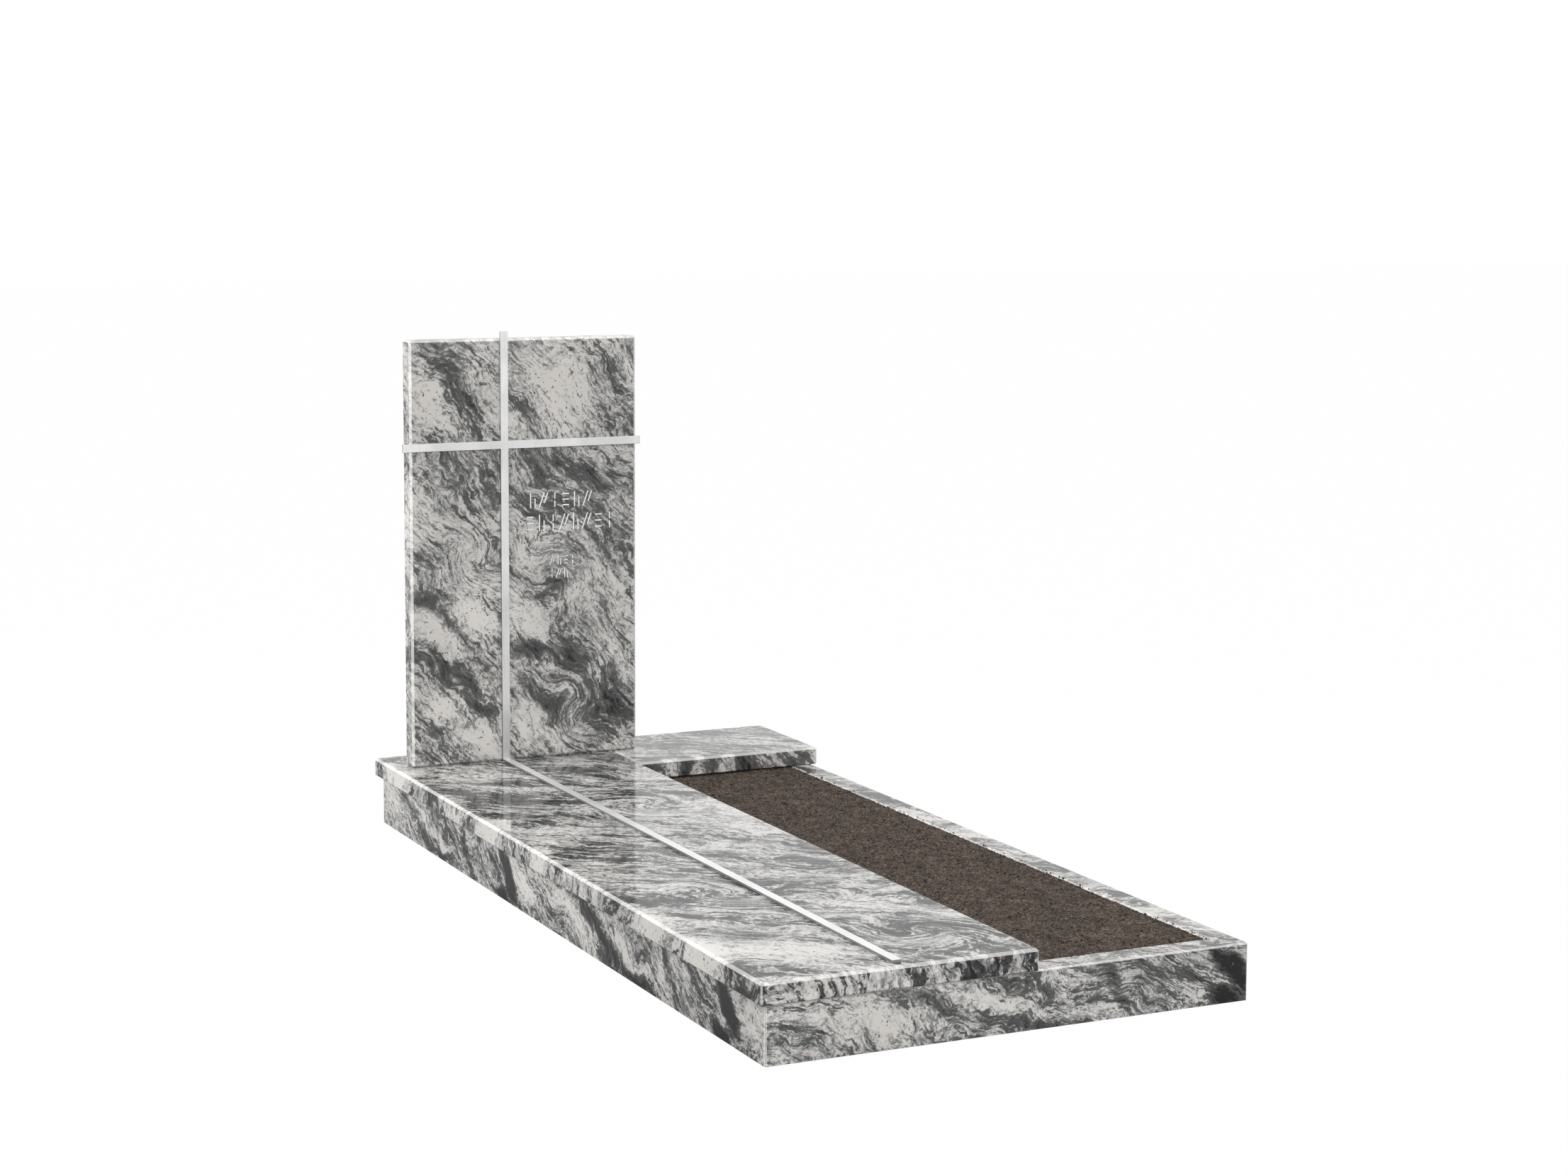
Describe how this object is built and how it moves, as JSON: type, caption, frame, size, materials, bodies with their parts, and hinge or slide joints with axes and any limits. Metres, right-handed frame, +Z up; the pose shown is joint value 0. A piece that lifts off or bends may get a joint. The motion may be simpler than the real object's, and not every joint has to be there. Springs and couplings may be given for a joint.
{
  "type": "granite grave monument",
  "caption": "Single-grave monument: granite kerb surround, cover slabs, upright headstone with a flat metal cross, and an open bed filled with dark soil.",
  "frame": {"origin": "middle of the monument's footprint at ground level, under its bounding box", "axes": "+Z up, front towards -Y, headstone at the +Y end, ledger slab on the -X side, planted bed on the +X side"},
  "size_m": [1.024, 2.135, 1.1746],
  "materials": {
    "granite": "polished, pale grey with dark flowing veins",
    "metal": "fine brushed, pale",
    "soil": "matte, fine crumbs"
  },
  "bodies": {
    "root": {"kerb_left": "granite", "kerb_right": "granite", "kerb_front": "granite", "kerb_back": "granite", "ledger_slab": "granite", "back_slab": "granite", "headstone": "granite", "cross": "metal", "ledger_bar": "metal", "soil_bed": "soil"}
  },
  "joints": []
}
